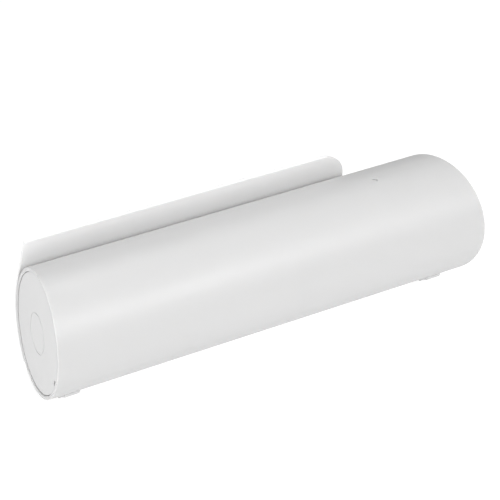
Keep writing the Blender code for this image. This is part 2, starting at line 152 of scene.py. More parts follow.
def lean_ends(mesh, both=True):
    """Slants the end faces of a straight prism."""
    slope_y = END_LEAN * math.cos(LEAN_ANGLE)
    slope_z = END_LEAN * math.sin(LEAN_ANGLE)
    for sign in (1, -1) if both else (1,):
        shear = Matrix.Identity(4)
        shear[0][1] = sign * slope_y
        shear[0][2] = -sign * slope_z
        shear[0][3] = sign * (slope_z * AXIS_Z - slope_y * AXIS_Y)
        ends = [v for v in mesh.verts if v.co.x * sign > 0]
        bmesh.ops.transform(mesh, matrix=shear, verts=ends)


# Solids that the pieces are cut and joined from

def as_object(name, mesh):
    """An object for a finished bmesh."""
    bmesh.ops.recalc_face_normals(mesh, faces=mesh.faces)
    data = bpy.data.meshes.new(name)
    mesh.to_mesh(data)
    mesh.free()
    made = bpy.data.objects.new(name, data)
    bpy.context.scene.collection.objects.link(made)
    return made


def pull_along(mesh, faces, vector):
    """Extrudes faces into a solid."""
    grown = bmesh.ops.extrude_face_region(mesh, geom=faces)["geom"]
    moved = [item for item in grown if isinstance(item, bmesh.types.BMVert)]
    bmesh.ops.translate(mesh, verts=moved, vec=vector)


def ring_piece(inner, outer, start, end, low, high, step=2.5):
    """Part of a round wall along X, between two angles."""
    mesh = bmesh.new()
    corners = [mesh.verts.new((low, *around(radius, start))) for radius in (inner, outer)]
    edge = mesh.edges.new(corners)
    bmesh.ops.spin(mesh, geom=[edge, *corners], cent=(low, AXIS_Y, AXIS_Z), axis=(-1, 0, 0),
                   angle=math.radians(end - start), steps=max(2, round((end - start) / step)))
    pull_along(mesh, mesh.faces[:], (high - low, 0, 0))
    return as_object("ring_piece", mesh)


def outline_solid(points, vector):
    """A flat outline, extruded along a vector."""
    mesh = bmesh.new()
    mesh.faces.new([mesh.verts.new(point) for point in points])
    pull_along(mesh, mesh.faces[:], vector)
    return as_object("outline_solid", mesh)


def cylinder(radius, low, high, centre, axis, sides=32):
    """A round solid between two places on its axis."""
    mesh = bmesh.new()
    turn = Vector((0, 0, 1)).rotation_difference(Vector(axis)).to_matrix().to_4x4()
    place = Matrix.Translation(Vector(centre) + Vector(axis) * (low + high) / 2) @ turn
    bmesh.ops.create_cone(mesh, cap_ends=True, segments=sides, radius1=radius,
                          radius2=radius, depth=high - low, matrix=place)
    return as_object("cylinder", mesh)


def spoke(degrees, x, low, high, radius, sides=24):
    """A round solid along the tube's radius."""
    angle = math.radians(degrees)
    return cylinder(radius, low, high, (x, AXIS_Y, AXIS_Z),
                    (0, -math.cos(angle), math.sin(angle)), sides)


def arc_points(centre, radius, start, end, steps):
    """Points of an arc, as (across, up) pairs."""
    angles = [math.radians(start + (end - start) * i / steps) for i in range(steps + 1)]
    return [(centre[0] + radius * math.cos(a), centre[1] + radius * math.sin(a)) for a in angles]


def bake(target):
    """Applies every modifier of an object."""
    bpy.context.view_layer.update()
    graph = bpy.context.evaluated_depsgraph_get()
    finished = bpy.data.meshes.new_from_object(target.evaluated_get(graph))
    target.modifiers.clear()
    target.data = finished


def combine(target, tools, operation):
    """Cuts solids from a piece or joins them to it, and removes them."""
    for tool in tools:
        step = target.modifiers.new("combine", "BOOLEAN")
        step.operation = operation
        step.solver = "EXACT"
        step.object = tool
        bake(target)
        bpy.data.objects.remove(tool, do_unlink=True)


def soften(target, width, segments=3, limit=30.0, near=None):
    """Rounds the sharp edges, or only those inside a (centre, radius) ball."""
    mesh = bmesh.new()
    mesh.from_mesh(target.data)
    bmesh.ops.remove_doubles(mesh, verts=mesh.verts, dist=2e-6)
    bmesh.ops.dissolve_limit(mesh, angle_limit=math.radians(0.3), verts=mesh.verts,
                             edges=mesh.edges)
    sharp = [edge for edge in mesh.edges if len(edge.link_faces) == 2
             and edge.calc_face_angle(0) > math.radians(limit)]
    if near:
        sharp = [edge for edge in sharp
                 if all((v.co - Vector(near[0])).length < near[1] for v in edge.verts)]
    bmesh.ops.bevel(mesh, geom=sharp, offset=width, offset_type="OFFSET", segments=segments,
                    profile=0.5, affect="EDGES", clamp_overlap=True, material=-1)
    mesh.to_mesh(target.data)
    mesh.free()


def complete(piece, name, look, body, nodes=(), weighted=True):
    """Names a piece, smooths its shading, gives it its material and hands it to the frame."""
    piece.name = name
    piece.data.name = name
    piece.data.materials.clear()
    piece.data.materials.append(look)
    piece.data.shade_smooth()
    piece.data.set_sharp_from_angle(angle=math.radians(40))
    if weighted:
        step = piece.modifiers.new("normals", "WEIGHTED_NORMAL")
        step.weight = 100
        step.keep_sharp = True
        bake(piece)
        piece.data.name = name
    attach(piece, body)
    if nodes:
        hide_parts(*nodes)
    return piece


def refined(node, width, segments=2):
    """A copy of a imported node, with merged faces and rounded edges."""
    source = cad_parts[node]
    data = source.data.copy()
    data.transform(source.matrix_world)
    made = bpy.data.objects.new(node + "_fine", data)
    bpy.context.scene.collection.objects.link(made)
    soften(made, width, segments)
    return made


# Materials

class Look:
    """A Principled material under construction."""

    def __init__(self, name, color, roughness, metallic=0.0, specular=0.5):
        self.material = bpy.data.materials.new(name)
        self.material.use_nodes = True
        self.tree = self.material.node_tree
        self.shader = self.tree.nodes["Principled BSDF"]
        self.color = tuple(color)
        self.shader.inputs["Base Color"].default_value = (*color, 1.0)
        self.shader.inputs["Roughness"].default_value = roughness
        self.shader.inputs["Metallic"].default_value = metallic
        self.shader.inputs["Specular IOR Level"].default_value = specular
        self.roughness = roughness
        self.places = self.tree.nodes.new("ShaderNodeTexCoord")
        self.bumps = None

    def link(self, start, end):
        self.tree.links.new(start, end)

    def node(self, kind, **settings):
        made = self.tree.nodes.new("ShaderNode" + kind)
        for key, value in settings.items():
            setattr(made, key, value)
        return made

    def spots(self, scale, stretch=(1, 1, 1), detail=3.0, source="Object"):
        """Noise with so many features a metre, drawn out along the axes."""
        mapping = self.node("Mapping")
        mapping.inputs["Scale"].default_value = stretch
        self.link(self.places.outputs[source], mapping.inputs["Vector"])
        noise = self.node("TexNoise")
        noise.inputs["Scale"].default_value = scale
        noise.inputs["Detail"].default_value = detail
        self.link(mapping.outputs["Vector"], noise.inputs["Vector"])
        return noise.outputs["Fac"]

    def between(self, value, low, high, start=0.3, end=0.7):
        """A value carried from one range to another."""
        made = self.node("MapRange")
        for key, number in (("From Min", start), ("From Max", end),
                            ("To Min", low), ("To Max", high)):
            made.inputs[key].default_value = number
        self.link(value, made.inputs["Value"])
        return made.outputs["Result"]

    def tint(self, value, factor, start=0.3, end=0.7):
        """The base colour goes to a multiple of itself as the value rises."""
        mix = self.node("Mix", data_type="RGBA")
        mix.inputs[6].default_value = (*self.color, 1.0)
        mix.inputs[7].default_value = (*(min(1.0, c * factor) for c in self.color), 1.0)
        self.link(self.between(value, 0.0, 1.0, start, end), mix.inputs[0])
        self.link(mix.outputs[2], self.shader.inputs["Base Color"])

    def rough(self, value, spread):
        """Roughness that varies by a spread either way."""
        self.link(self.between(value, self.roughness - spread, self.roughness + spread),
                  self.shader.inputs["Roughness"])

    def relief(self, value, depth, strength=1.0):
        """Adds a height pattern of a depth in metres."""
        made = self.node("Bump")
        made.inputs["Distance"].default_value = depth
        made.inputs["Strength"].default_value = strength
        self.link(value, made.inputs["Height"])
        if self.bumps:
            self.link(self.bumps, made.inputs["Normal"])
        self.bumps = made.outputs["Normal"]
        self.link(self.bumps, self.shader.inputs["Normal"])

    def glow_through(self, weight, depth):
        """Lets light spread inside the material, to a depth in metres."""
        self.shader.inputs["Subsurface Weight"].default_value = weight
        self.shader.inputs["Subsurface Radius"].default_value = (1.0, 0.95, 0.9)
        self.shader.inputs["Subsurface Scale"].default_value = depth

    def maths(self, operation, first, second=None):
        made = self.node("Math", operation=operation)
        for index, value in enumerate((first, second)):
            if isinstance(value, (int, float)):
                made.inputs[index].default_value = value
            elif value is not None:
                self.link(value, made.inputs[index])
        return made.outputs[0]

    def flat_axes(self):
        """The two cloth directions, in metres, from the UV map."""
        parts = self.node("SeparateXYZ")
        self.link(self.places.outputs["UV"], parts.inputs[0])
        return parts.outputs["X"], parts.outputs["Y"]


def moulded_plastic(name, color, roughness, grain):
    """Satin moulding: fine spark grain, faint flow lines along the tube, slight mottling."""
    look = Look(name, color, roughness)
    look.tint(look.spots(9.0, (0.5, 1, 1)), 0.975)
    look.rough(look.spots(60.0), 0.035)
    look.relief(look.spots(1900.0, detail=4.0), grain)
    look.relief(look.spots(45.0, (0.12, 1, 1), 2.0), grain * 1.6)
    look.glow_through(0.35, 0.004)
    return look.material


def turned_plastic(name, color, roughness, grain):
    """A moulding with the faint concentric lines that its turned tool leaves."""
    look = Look(name, color, roughness)
    look.tint(look.spots(30.0), 0.98)
    look.rough(look.spots(90.0), 0.03)
    look.relief(look.spots(2300.0, detail=4.0), grain)
    middle = look.node("Mapping")
    middle.inputs["Location"].default_value = (0, -AXIS_Y, -AXIS_Z)
    middle.inputs["Scale"].default_value = (0, 1, 1)
    look.link(look.places.outputs["Object"], middle.inputs["Vector"])
    length = look.node("VectorMath", operation="LENGTH")
    look.link(middle.outputs["Vector"], length.inputs[0])
    rings = look.maths("SINE", look.maths("MULTIPLY", length.outputs["Value"], 9000.0))
    look.relief(rings, grain * 0.25)
    return look.material


def plated_steel(name, color, roughness):
    """Zinc-plated wire and sheet with fine drawing lines and dull patches."""
    look = Look(name, color, roughness, 1.0)
    look.tint(look.spots(500.0), 0.86)
    look.rough(look.spots(700.0), 0.09)
    look.relief(look.spots(900.0, (0.06, 1, 1)), 0.000012)
    return look.material


def soft_rubber(name, color):
    """Matt rubber with a dusty, pitted skin."""
    look = Look(name, color, 0.82, specular=0.3)
    look.tint(look.spots(240.0), 0.88)
    look.rough(look.spots(800.0), 0.06)
    look.relief(look.spots(2200.0, detail=5.0), 0.00006)
    return look.material


def woven(look, u, v, pitch, depth):
    """Plain weave: warp and weft threads pass over each other in turn."""
    along = look.maths("SINE", look.maths("MULTIPLY", u, math.pi / pitch))
    across = look.maths("SINE", look.maths("MULTIPLY", v, math.pi / pitch))
    weave = look.maths("MULTIPLY", along, across)
    threads = look.maths("ADD", look.maths("ABSOLUTE", along), look.maths("ABSOLUTE", across))
    look.relief(look.maths("ADD", look.maths("MULTIPLY", weave, 0.6), threads), depth)
    return weave


def glass_cloth(name, color):
    """Coated glass-fibre cloth with slubs and a stitched hem round its edge."""
    look = Look(name, color, 0.62, specular=0.4)
    u, v = look.flat_axes()
    weave = woven(look, u, v, 0.0009, 0.00010)
    slubs = look.spots(350.0, (0.08, 1, 1), source="UV")
    look.tint(look.maths("ADD", look.maths("MULTIPLY", weave, 0.12), slubs), 0.9)
    look.rough(look.spots(420.0), 0.07)
    edge_u = look.maths("MINIMUM", u, look.maths("SUBTRACT", 1.0, u))
    edge_v = look.maths("MINIMUM", v, look.maths("SUBTRACT", 1.0, v))
    edge = look.maths("MINIMUM", edge_u, edge_v)
    hem = look.maths("LESS_THAN", look.maths("ABSOLUTE", look.maths("SUBTRACT", edge, 0.012)),
                     0.0006)
    look.relief(look.maths("SUBTRACT", 1.0, hem), 0.0002)
    look.shader.inputs["Sheen Weight"].default_value = 0.15
    look.shader.inputs["Sheen Roughness"].default_value = 0.5
    return look.material


def strap_webbing(name, color):
    """Black polyester webbing: ribs across its width."""
    look = Look(name, color, 0.7, specular=0.35)
    u, v = look.flat_axes()
    ribs = look.maths("ABSOLUTE", look.maths("SINE", look.maths("MULTIPLY", v, 2400.0)))
    steps = look.maths("SINE", look.maths("MULTIPLY", u, 3100.0))
    shift = look.maths("MULTIPLY", steps, 0.35)
    look.relief(look.maths("ADD", ribs, shift), 0.00025)
    look.tint(ribs, 2.2, 0.0, 1.0)
    look.rough(look.spots(900.0), 0.08)
    look.shader.inputs["Sheen Weight"].default_value = 0.3
    return look.material


def sewing_thread(name, color):
    """Twisted polyester thread."""
    look = Look(name, color, 0.6)
    look.tint(look.spots(1500.0), 0.85)
    look.relief(look.spots(2600.0, (2.0, 1, 1)), 0.00008)
    return look.material


def studio_floor(name, color, glow):
    """Pale matt floor."""
    look = Look(name, color, 0.9, specular=0.1)
    look.tint(look.spots(3.0), 0.995)
    look.relief(look.spots(300.0), 0.00003)
    look.shader.inputs["Emission Color"].default_value = (1, 1, 1, 1)
    look.shader.inputs["Emission Strength"].default_value = glow
    return look.material


def settings():
    return bpy.context.scene.fire_blanket_case


# Properties

class FireBlanketSettings(bpy.types.PropertyGroup):
    """Sizes and colours of the case, its blanket and the stage"""
    edge_round: bpy.props.FloatProperty(
        name="Edge rounding", description="Radius of the mouldings' long edges",
        default=0.00045, min=0.0001, max=0.0009, unit="LENGTH")
    tube_sides: bpy.props.IntProperty(
        name="Tube sides", description="Facets round the tube", default=144, min=72, max=288)
    grain: bpy.props.FloatProperty(
        name="Grain depth", description="Depth of the mouldings' fine grain",
        default=0.000018, min=0.0, max=0.0001, precision=6, unit="LENGTH")
    case_color: bpy.props.FloatVectorProperty(
        name="Case", description="Colour of tube and feet",
        default=(0.55, 0.55, 0.55), min=0.0, max=1.0, subtype="COLOR")
    # The door is the case's plastic painted paler: painted light that keeps its lip bright in the
    # tube's shade
    door_painted_light_color: bpy.props.FloatVectorProperty(
        name="Door", description="Colour of the door and lip, paler than the case",
        default=(0.80, 0.80, 0.80), min=0.0, max=1.0, subtype="COLOR")
    plug_color: bpy.props.FloatVectorProperty(
        name="End plugs", description="Colour of the end plugs",
        default=(0.60, 0.60, 0.60), min=0.0, max=1.0, subtype="COLOR")
    nylon_color: bpy.props.FloatVectorProperty(
        name="Nylon", description="Colour of hinges and catches",
        default=(0.74, 0.74, 0.72), min=0.0, max=1.0, subtype="COLOR")
    steel_color: bpy.props.FloatVectorProperty(
        name="Steel", description="Colour of pins, rivets and screws",
        default=(0.62, 0.63, 0.65), min=0.0, max=1.0, subtype="COLOR")
    pad_color: bpy.props.FloatVectorProperty(
        name="Foot pads", description="Colour of the rubber pads",
        default=(0.50, 0.50, 0.50), min=0.0, max=1.0, subtype="COLOR")
    cloth_color: bpy.props.FloatVectorProperty(
        name="Blanket", description="Colour of the glass cloth",
        default=(0.80, 0.79, 0.74), min=0.0, max=1.0, subtype="COLOR")
    webbing_color: bpy.props.FloatVectorProperty(
        name="Pull tabs", description="Colour of the webbing",
        default=(0.02, 0.02, 0.022), min=0.0, max=1.0, subtype="COLOR")
    cloth_thickness: bpy.props.FloatProperty(
        name="Cloth thickness", description="Thickness of the glass cloth",
        default=0.00043, min=0.0002, max=0.0005, precision=5, unit="LENGTH")
    flat_size: bpy.props.FloatVectorProperty(
        name="Flat size", description="Width and length of the unfolded blanket",
        default=(1.0, 1.0), size=2, min=0.5, max=1.5, unit="LENGTH")
    camera_lens: bpy.props.FloatProperty(
        name="Lens", description="Focal length of the camera in millimetres",
        default=171.3, min=20.0, max=400.0)
    light_power: bpy.props.FloatProperty(
        name="Light power", description="Multiplies the power of every studio light",
        default=1.0, min=0.0, max=10.0)
    floor_glow: bpy.props.FloatProperty(
        name="Floor glow", description="Light that the floor gives off by itself",
        default=0.85, min=0.0, max=2.0)
    room_light: bpy.props.FloatProperty(
        name="Room light", description="Strength of the even light from all round",
        default=0.22, min=0.0, max=4.0)


def looks():
    """The materials, made once and then found by name."""
    chosen = settings()
    recipes = {
        "satin_case": lambda n: moulded_plastic(n, chosen.case_color, 0.46, chosen.grain),
        # The door's plastic is the case's, painted paler as painted light for its shaded lip
        "satin_door_painted_light": lambda n: moulded_plastic(n, chosen.door_painted_light_color, 0.42, chosen.grain),
        "matt_plug": lambda n: turned_plastic(n, chosen.plug_color, 0.48, chosen.grain),
        "natural_nylon": lambda n: moulded_plastic(n, chosen.nylon_color, 0.52,
                                                   chosen.grain * 1.5),
        "zinc_steel": lambda n: plated_steel(n, chosen.steel_color, 0.34),
        "pad_rubber": lambda n: soft_rubber(n, chosen.pad_color),
        "glass_cloth": lambda n: glass_cloth(n, chosen.cloth_color),
        "strap_webbing": lambda n: strap_webbing(n, chosen.webbing_color),
        "white_thread": lambda n: sewing_thread(n, (0.78, 0.77, 0.74)),
    }
    return {name: bpy.data.materials.get(name) or make(name) for name, make in recipes.items()}


# Pieces

class CASE_OT_tube(bpy.types.Operator):
    """Tube with slanted ends, its window, gate mark, slots and keyholes"""
    bl_idname = "fire_blanket.tube"
    bl_label = "Tube"

    def execute(self, context):
        chosen = settings()
        mesh = bmesh.new()
        loops = []
        for radius in (TUBE_RADIUS, SHELL_INNER):
            place = Matrix.Translation((-HALF_LENGTH, AXIS_Y, AXIS_Z))
            circle = bmesh.ops.create_circle(
                mesh, segments=chosen.tube_sides, radius=radius,
                matrix=place @ Matrix.Rotation(math.pi / 2, 4, "Y"))
            loops += {edge for vertex in circle["verts"] for edge in vertex.link_edges}
        bmesh.ops.bridge_loops(mesh, edges=loops)
        pull_along(mesh, mesh.faces[:], (2 * HALF_LENGTH, 0, 0))
        lean_ends(mesh)
        tube = as_object("tube", mesh)
        reach = TUBE_RADIUS * 1.1
        inside = SHELL_INNER * 0.93
        combine(tube, [ring_piece(SHELL_INNER * 0.9, reach, *WINDOW, -WINDOW_HALF,
                                  WINDOW_HALF)], "DIFFERENCE")
        soften(tube, chosen.edge_round)
        mark = spoke(GATE_ANGLE, GATE_X, TUBE_RADIUS - GATE_DEPTH, reach, GATE_RADIUS)
        combine(tube, [mark], "DIFFERENCE")
        soften(tube, GATE_ROUND,
               near=((GATE_X, *around(TUBE_RADIUS, GATE_ANGLE)), GATE_RADIUS * 1.1))
        play = math.degrees(CLEARANCE / TUBE_RADIUS) + NOSE_SPAN / 2
        cutters = []
        for sign in (-1, 1):
            middle, width = sign * CATCH_X, NOSE_WIDTH / 2 + CLEARANCE
            cutters.append(ring_piece(inside, reach, NOSE_ANGLE - play, NOSE_ANGLE + play,
                                      middle - width, middle + width))
            cutters += keyhole_cutters(sign * FOOT_X)
            cutters += [spoke(270 + row * SCREW_SPREAD, sign * FOOT_X, inside, reach,
                              SCREW_RADIUS + CLEARANCE) for row in (-1, 1)]
        cutters += [spoke(RIVET_ANGLE, place + sign * RIVET_OFFSET, inside, reach,
                          RIVET_RADIUS + CLEARANCE) for place in HINGE_PLACES for sign in (-1, 1)]
        combine(tube, cutters, "DIFFERENCE")
        complete(tube, "tube", looks()["satin_case"], "case", ["tube_shell"])
        return {"FINISHED"}


def keyhole_cutters(x):
    """A wide round entry, and a slot from it towards the front."""
    low, high = -0.004, 0.009
    entry_y = AXIS_Y + KEYHOLE_ENTRY
    end_y = entry_y - KEYHOLE_TRAVEL
    outline = arc_points((x, entry_y), KEYHOLE_SLOT, 0, 180, 10)
    outline += arc_points((x, end_y), KEYHOLE_SLOT, 180, 360, 10)
    return [cylinder(KEYHOLE_HEAD, low, high, (x, entry_y, 0), (0, 0, 1)),
            outline_solid([(a, b, low) for a, b in outline], (0, 0, high - low))]


def lip_curve():
    """Where the lip's slight curve starts, how far it turns, and its radius."""
    turn = math.radians(LIP_TURN)
    return math.radians(180.0 - LIP_START), turn, LIP_LENGTH / turn


def lip_crown():
    """The (y, z) point of the lip's outer face at its free edge."""
    start, turn, bend = lip_curve()
    y, z = around(DOOR_OUTER, LIP_START)
    return (y + bend * (math.cos(start + turn) - math.cos(start)),
            z + bend * (math.sin(start + turn) - math.sin(start)))


def lip_trims():
    """What the lip lacks right of its large round corner and at its small left one."""
    crown_y, crown = lip_crown()
    rim = around(TUBE_RADIUS, RIM_ANGLE)[1]
    top, far = crown + 0.01, 0.2500
    corner = arc_points((LIP_RIGHT - LIP_CORNER, crown - LIP_CORNER), LIP_CORNER, 90, 0, 24)
    right = corner + [(LIP_RIGHT, rim), (far, rim), (far, top), (LIP_RIGHT - LIP_CORNER, top)]
    end = lean(crown_y, crown) - HALF_LENGTH
    centre = (end + LIP_SMALL_CORNER, crown - LIP_SMALL_CORNER)
    left = arc_points(centre, LIP_SMALL_CORNER, 180, 90, 8)
    left += [(centre[0], top), (end - 0.01, top), (end - 0.01, centre[1])]
    front, depth = -0.08, 0.16
    return [outline_solid([(x, front, z) for x, z in outline], (0, depth, 0))
            for outline in (right, left)]


class CASE_OT_door(bpy.types.Operator):
    """Door skin that runs on into the grip lip, with its knuckles and keeper recesses"""
    bl_idname = "fire_blanket.door"
    bl_label = "Door"

    def execute(self, context):
        mesh = bmesh.new()
        corners = [mesh.verts.new((-HALF_LENGTH, *around(radius, LIP_START)))
                   for radius in (DOOR_INNER, DOOR_OUTER)]
        edge = mesh.edges.new(corners)
        bmesh.ops.spin(mesh, geom=[edge, *corners], cent=(-HALF_LENGTH, AXIS_Y, AXIS_Z),
                       axis=(-1, 0, 0), angle=math.radians(DOOR_BOTTOM - LIP_START), steps=30)
        start, turn, bend = lip_curve()
        outer_y, outer_z = around(DOOR_OUTER, LIP_START)
        centre = (-HALF_LENGTH, outer_y - bend * math.cos(start), outer_z - bend * math.sin(start))
        bmesh.ops.spin(mesh, geom=[edge, *corners], cent=centre, axis=(1, 0, 0),
                       angle=turn, steps=10)
        bmesh.ops.remove_doubles(mesh, verts=mesh.verts, dist=1e-6)
        pull_along(mesh, mesh.faces[:], (2 * HALF_LENGTH, 0, 0))
        crown = lip_crown()[1]
        edges = [e for e in mesh.edges
                 if all(v.co.z > crown - DOOR_WALL for v in e.verts)
                 and abs(e.verts[0].co.x - e.verts[1].co.x) > HALF_LENGTH]
        bmesh.ops.bevel(mesh, geom=edges, offset=DOOR_WALL * 0.48, offset_type="OFFSET",
                        segments=6, profile=0.5, affect="EDGES", clamp_overlap=True, material=-1)
        lean_ends(mesh)
        door = as_object("door", mesh)
        combine(door, lip_trims(), "DIFFERENCE")
        soften(door, 0.0004)
        reach = math.degrees(KNUCKLE_RADIUS / HINGE_REACH)
        hinge = around(HINGE_REACH, HINGE_ANGLE)
        bores = []
        for place in HINGE_PLACES:
            for sign in (-1, 1):
                near = place + sign * (KNUCKLE_LENGTH / 2 + CLEARANCE)
                low, high = sorted((near, near + sign * KNUCKLE_LENGTH))
                barrel = cylinder(KNUCKLE_RADIUS, low, high, (0, *hinge), (1, 0, 0), 40)
                web = ring_piece(DOOR_INNER, DOOR_OUTER, DOOR_BOTTOM - reach,
                                 HINGE_ANGLE - reach / 2, low, high, 1.0)
                soften(barrel, 0.0002)
                combine(door, [barrel, web], "UNION")
                bores.append(cylinder(BORE_RADIUS, low - CLEARANCE, high + CLEARANCE,
                                      (0, *hinge), (1, 0, 0)))
        for sign in (-1, 1):
            middle, width = sign * CATCH_X, NOSE_WIDTH / 2 + 2 * CLEARANCE
            bores.append(ring_piece(DOOR_INNER * 0.97, DOOR_INNER + KEEPER_DEPTH,
                                    NOSE_ANGLE - NOSE_SPAN, NOSE_ANGLE + NOSE_SPAN,
                                    middle - width, middle + width))
        combine(door, bores, "DIFFERENCE")
        # The door takes the paler plastic: painted light on its lip, which lies in the tube's
        # shade
        complete(door, "door", looks()["satin_door_painted_light"], "door", ["door_shell"])
        return {"FINISHED"}


class CASE_OT_plugs(bpy.types.Operator):
    """Press-in end plugs with a ring groove, a narrow rim chamfer and a pry notch"""
    bl_idname = "fire_blanket.plugs"
    bl_label = "End plugs"

    def execute(self, context):
        radius = SHELL_INNER - CLEARANCE
        face = HALF_LENGTH - PLUG_INSET
        spot = (face, *around(radius, NOTCH_ANGLE))
        profile = [(face - PLUG_WALL, 0.0), (face - PLUG_WALL, radius - PLUG_WALL),
                   (face - 0.0032, radius - 0.0020), (face - PLUG_SKIRT, radius - 0.0020),
                   (face - PLUG_SKIRT, radius - 0.0004), (face - 0.0066, radius),
                   (face - 0.0004, radius), (face - 0.0001, radius - 0.0001),
                   (face, radius - 0.0003), (face, PLUG_RING + 0.0008),
                   (face - 0.0004, PLUG_RING + 0.0006), (face - 0.0004, PLUG_RING + 0.0002),
                   (face, PLUG_RING), (face, 0.0)]
        for side, sign in SIDES:
            mesh = bmesh.new()
            chain = [mesh.verts.new((x, AXIS_Y, AXIS_Z + r)) for x, r in profile]
            edges = [mesh.edges.new(pair) for pair in zip(chain, chain[1:])]
            bmesh.ops.spin(mesh, geom=chain + edges, cent=(0, AXIS_Y, AXIS_Z), axis=(1, 0, 0),
                           angle=2 * math.pi, steps=120, use_merge=True)
            bmesh.ops.remove_doubles(mesh, verts=mesh.verts, dist=1e-6)
            plug = as_object("plug", mesh)
            notch = cylinder(NOTCH_RADIUS, face - NOTCH_DEPTH, face + 0.003,
                             (0, *around(radius, NOTCH_ANGLE)), (1, 0, 0))
            combine(plug, [notch], "DIFFERENCE")
            soften(plug, 0.0002, 2, 50.0, (spot, 0.004))
            shape = bmesh.new()
            shape.from_mesh(plug.data)
            lean_ends(shape, False)
            if sign < 0:
                bmesh.ops.scale(shape, vec=(-1, 1, 1), verts=shape.verts)
                bmesh.ops.reverse_faces(shape, faces=shape.faces)
            shape.to_mesh(plug.data)
            shape.free()
            complete(plug, "plug_" + side, looks()["matt_plug"], "plug_" + side,
                     ["end_plug_" + side])
        return {"FINISHED"}


class CASE_OT_feet(bpy.types.Operator):
    """Saddle feet and their rubber pads"""
    bl_idname = "fire_blanket.feet"
    bl_label = "Feet"

    def execute(self, context):
        found = looks()
        for side, _ in SIDES:
            complete(refined("foot_" + side, FOOT_ROUND), "saddle_" + side, found["satin_case"],
                     "case", ["foot_" + side])
            complete(refined("foot_pad_" + side, PAD_ROUND), "pad_" + side,
                     found["pad_rubber"], "case", ["foot_pad_" + side])
        return {"FINISHED"}


class CASE_OT_hinges(bpy.types.Operator):
    """Hinge brackets, their pins and domed rivets"""
    bl_idname = "fire_blanket.hinges"
    bl_label = "Hinges"

    def execute(self, context):
        found = looks()
        for name in ("left", "middle", "right"):
            complete(refined("hinge_bracket_" + name, 0.00025), "bracket_" + name,
                     found["natural_nylon"], "case", ["hinge_bracket_" + name])
            complete(refined("hinge_pin_" + name, 0.0002), "pin_" + name, found["zinc_steel"],
                     "case", ["hinge_pin_" + name])
        places = [place + sign * RIVET_OFFSET for place in HINGE_PLACES for sign in (-1, 1)]
        inner = SHELL_INNER - CLEARANCE
        outer = TUBE_RADIUS + 2 * CLEARANCE + BRACKET_WALL
        head, dome = 0.0026, 0.0012
        profile = [(inner - dome, 0), (inner - dome * 0.8, head * 0.6),
                   (inner - dome * 0.35, head * 0.92), (inner, head), (inner, RIVET_RADIUS),
                   (outer, RIVET_RADIUS), (outer, head), (outer + dome * 0.35, head * 0.92),
                   (outer + dome * 0.8, head * 0.6), (outer + dome, 0)]
        for number, x in enumerate(places, 1):
            complete(turned_spoke(profile, RIVET_ANGLE, x), "rivet_%d" % number,
                     found["zinc_steel"], "case", ["hinge_rivet_%d" % number])
        return {"FINISHED"}


def turned_spoke(profile, degrees, x, sides=32):
    """A turned piece along the tube's radius, from its (distance, radius) profile."""
    mesh = bmesh.new()
    chain = [mesh.verts.new((r, 0, distance)) for distance, r in profile]
    edges = [mesh.edges.new(pair) for pair in zip(chain, chain[1:])]
    bmesh.ops.spin(mesh, geom=chain + edges, cent=(0, 0, 0), axis=(0, 0, 1),
                   angle=2 * math.pi, steps=sides, use_merge=True)
    bmesh.ops.remove_doubles(mesh, verts=mesh.verts, dist=1e-6)
    angle = math.radians(degrees)
    outwards = Vector((0, -math.cos(angle), math.sin(angle)))
    turn = Vector((0, 0, 1)).rotation_difference(outwards).to_matrix().to_4x4()
    place = Matrix.Translation((x, AXIS_Y, AXIS_Z)) @ turn
    bmesh.ops.transform(mesh, matrix=place, verts=mesh.verts)
    return as_object("turned", mesh)


class CASE_OT_screws(bpy.types.Operator):
    """Pan-head screws with a cross recess, from inside the tube into the feet"""
    bl_idname = "fire_blanket.screws"
    bl_label = "Foot screws"

    def execute(self, context):
        seat = SHELL_INNER - 2 * CLEARANCE
        head, height = 0.0028, 0.0016
        point = SHELL_INNER + 0.0050
        profile = [(seat - height, 0), (seat - height, head * 0.6),
                   (seat - height * 0.6, head * 0.93), (seat - height * 0.3, head),
                   (seat, head), (seat, SCREW_RADIUS * 0.8)]
        turns = 5
        for turn in range(turns):
            low = seat + (point - seat - 0.0008) * (turn + 0.3) / turns
            profile += [(low, SCREW_RADIUS * 0.8), (low + 0.0003, SCREW_RADIUS),
                        (low + 0.0006, SCREW_RADIUS * 0.8)]
        profile.append((point, 0))
        for side, sign in SIDES:
            for row, turn in (("back", -1), ("front", 1)):
                degrees = 270 + turn * SCREW_SPREAD
                screw = turned_spoke(profile, degrees, sign * FOOT_X, 28)
                angle = math.radians(degrees)
                across = Vector((0, math.sin(angle), math.cos(angle)))
                crown = Vector((sign * FOOT_X, *around(seat - height, degrees)))
                recess = []
                for line in (Vector((1, 0, 0)), across):
                    recess.append(cylinder(0.00032, -0.0014, 0.0014, crown, line, 4))
                combine(screw, recess, "DIFFERENCE")
                name = "foot_screw_%s_%s" % (side, row)
                complete(screw, "screw_%s_%s" % (side, row), looks()["zinc_steel"], "case",
                         [name])
        return {"FINISHED"}


class CASE_OT_catches(bpy.types.Operator):
    """Snap catches that hold the door shut"""
    bl_idname = "fire_blanket.catches"
    bl_label = "Catches"

    def execute(self, context):
        for side, _ in SIDES:
            complete(refined("catch_" + side, 0.0002), "snap_" + side,
                     looks()["natural_nylon"], "case", ["catch_" + side])
        return {"FINISHED"}


def serpentine(levels, lows, highs, run_steps, turn_steps):
    """Points, with normals, of a strip folded to and fro: runs at levels joined by round turns."""
    path = []
    for index, level in enumerate(levels):
        forward = index % 2 == 0
        start, end = (lows[index], highs[index]) if forward else (highs[index], lows[index])
        normal = 1 if forward else -1
        for step in range(run_steps + 1):
            path.append((start + (end - start) * step / run_steps, level, 0.0, normal))
        if index + 1 < len(levels):
            middle = (level + levels[index + 1]) / 2
            radius = (levels[index + 1] - level) / 2
            for step in range(1, turn_steps):
                share = math.pi * step / turn_steps
                out = math.sin(share) * (1 if forward else -1)
                up = -math.cos(share)
                path.append((end + radius * out, middle + radius * up, -math.sin(share),
                             -normal * up))
    return path


